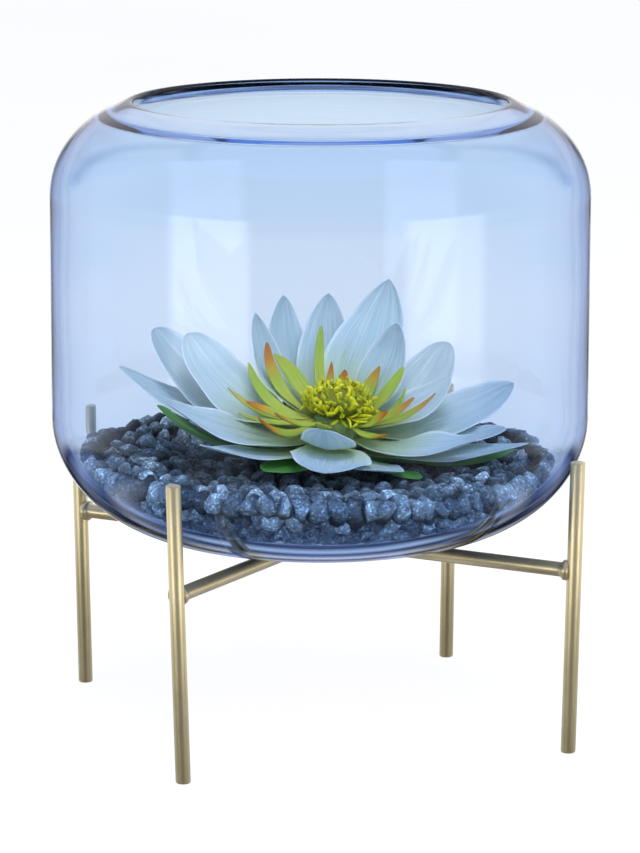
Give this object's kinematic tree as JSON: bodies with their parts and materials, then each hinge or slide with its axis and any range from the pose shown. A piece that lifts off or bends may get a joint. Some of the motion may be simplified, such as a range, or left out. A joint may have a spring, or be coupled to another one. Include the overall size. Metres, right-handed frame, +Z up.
{
  "type": "water lily flower in a bowl",
  "caption": "White water lily blossom lying on gravel in a round-shouldered glass bowl that rests on a slim brass stand with straight legs and crossed bars.",
  "frame": {"origin": "on the standing surface, under the axis of the bowl", "axes": "+Z up along the bowl's axis; the stand's legs stand at 45, 135, 225 and 315 degrees in plan from +X, and -Y is the front"},
  "size_m": [0.2, 0.2, 0.234],
  "materials": {
    "glass": "clear pale blue glass, polished",
    "brass": "pale satin brass",
    "gravel": "rough angular slate-blue crushed stone",
    "receptacle": "soft green plant tissue",
    "stamen": "yellow-green curled filaments",
    "sepal": "green leaf with pale edges and fine veins",
    "petal": "white petal with fine veins, slightly translucent",
    "petaloid": "yellow-green with orange tips"
  },
  "bodies": {
    "root": {"glass_bowl": "glass", "leg_back_right": "brass", "leg_back_left": "brass", "leg_front_left": "brass", "leg_front_right": "brass", "crossbar_long": "brass", "crossbar_half_left": "brass", "crossbar_half_right": "brass", "gravel_bed": "gravel", "receptacle": "receptacle", "stamen_cluster": "stamen", "sepal_right": "sepal", "sepal_left": "sepal", "sepal_front_left": "sepal", "sepal_front_right": "sepal", "sepal_back": "sepal", "petal_outer_far_left": "petal", "petal_outer_front_left": "petal", "petal_outer_front": "petal", "petal_outer_right": "petal", "petal_outer_back_right": "petal", "petal_outer_back": "petal", "petal_outer_back_left": "petal", "petal_second_left": "petal", "petal_second_front_left": "petal", "petal_second_front": "petal", "petal_second_right": "petal", "petal_second_back": "petal", "petal_third_left": "petal", "petal_third_front_right": "petal", "petal_third_right": "petal", "petal_third_back_right": "petal", "petal_inner_back_left": "petal", "petal_inner_front": "petal", "petal_inner_right": "petal", "petal_inner_back_right": "petal", "petaloid_back": "petaloid", "petaloid_back_left_tall": "petaloid", "petaloid_back_left_curled": "petaloid", "petaloid_left_high": "petaloid", "petaloid_left_thin": "petaloid", "petaloid_left_low": "petaloid", "petaloid_left_front": "petaloid", "petaloid_front_left_curled": "petaloid", "petaloid_front_left_short": "petaloid", "petaloid_front": "petaloid", "petaloid_front_right": "petaloid", "petaloid_front_right_broad": "petaloid", "petaloid_right_front": "petaloid", "petaloid_right_long": "petaloid", "petaloid_right_thin": "petaloid", "petaloid_right_high": "petaloid", "petaloid_back_right": "petaloid", "petaloid_back_blunt": "petaloid", "petaloid_back_short": "petaloid"}
  },
  "joints": []
}
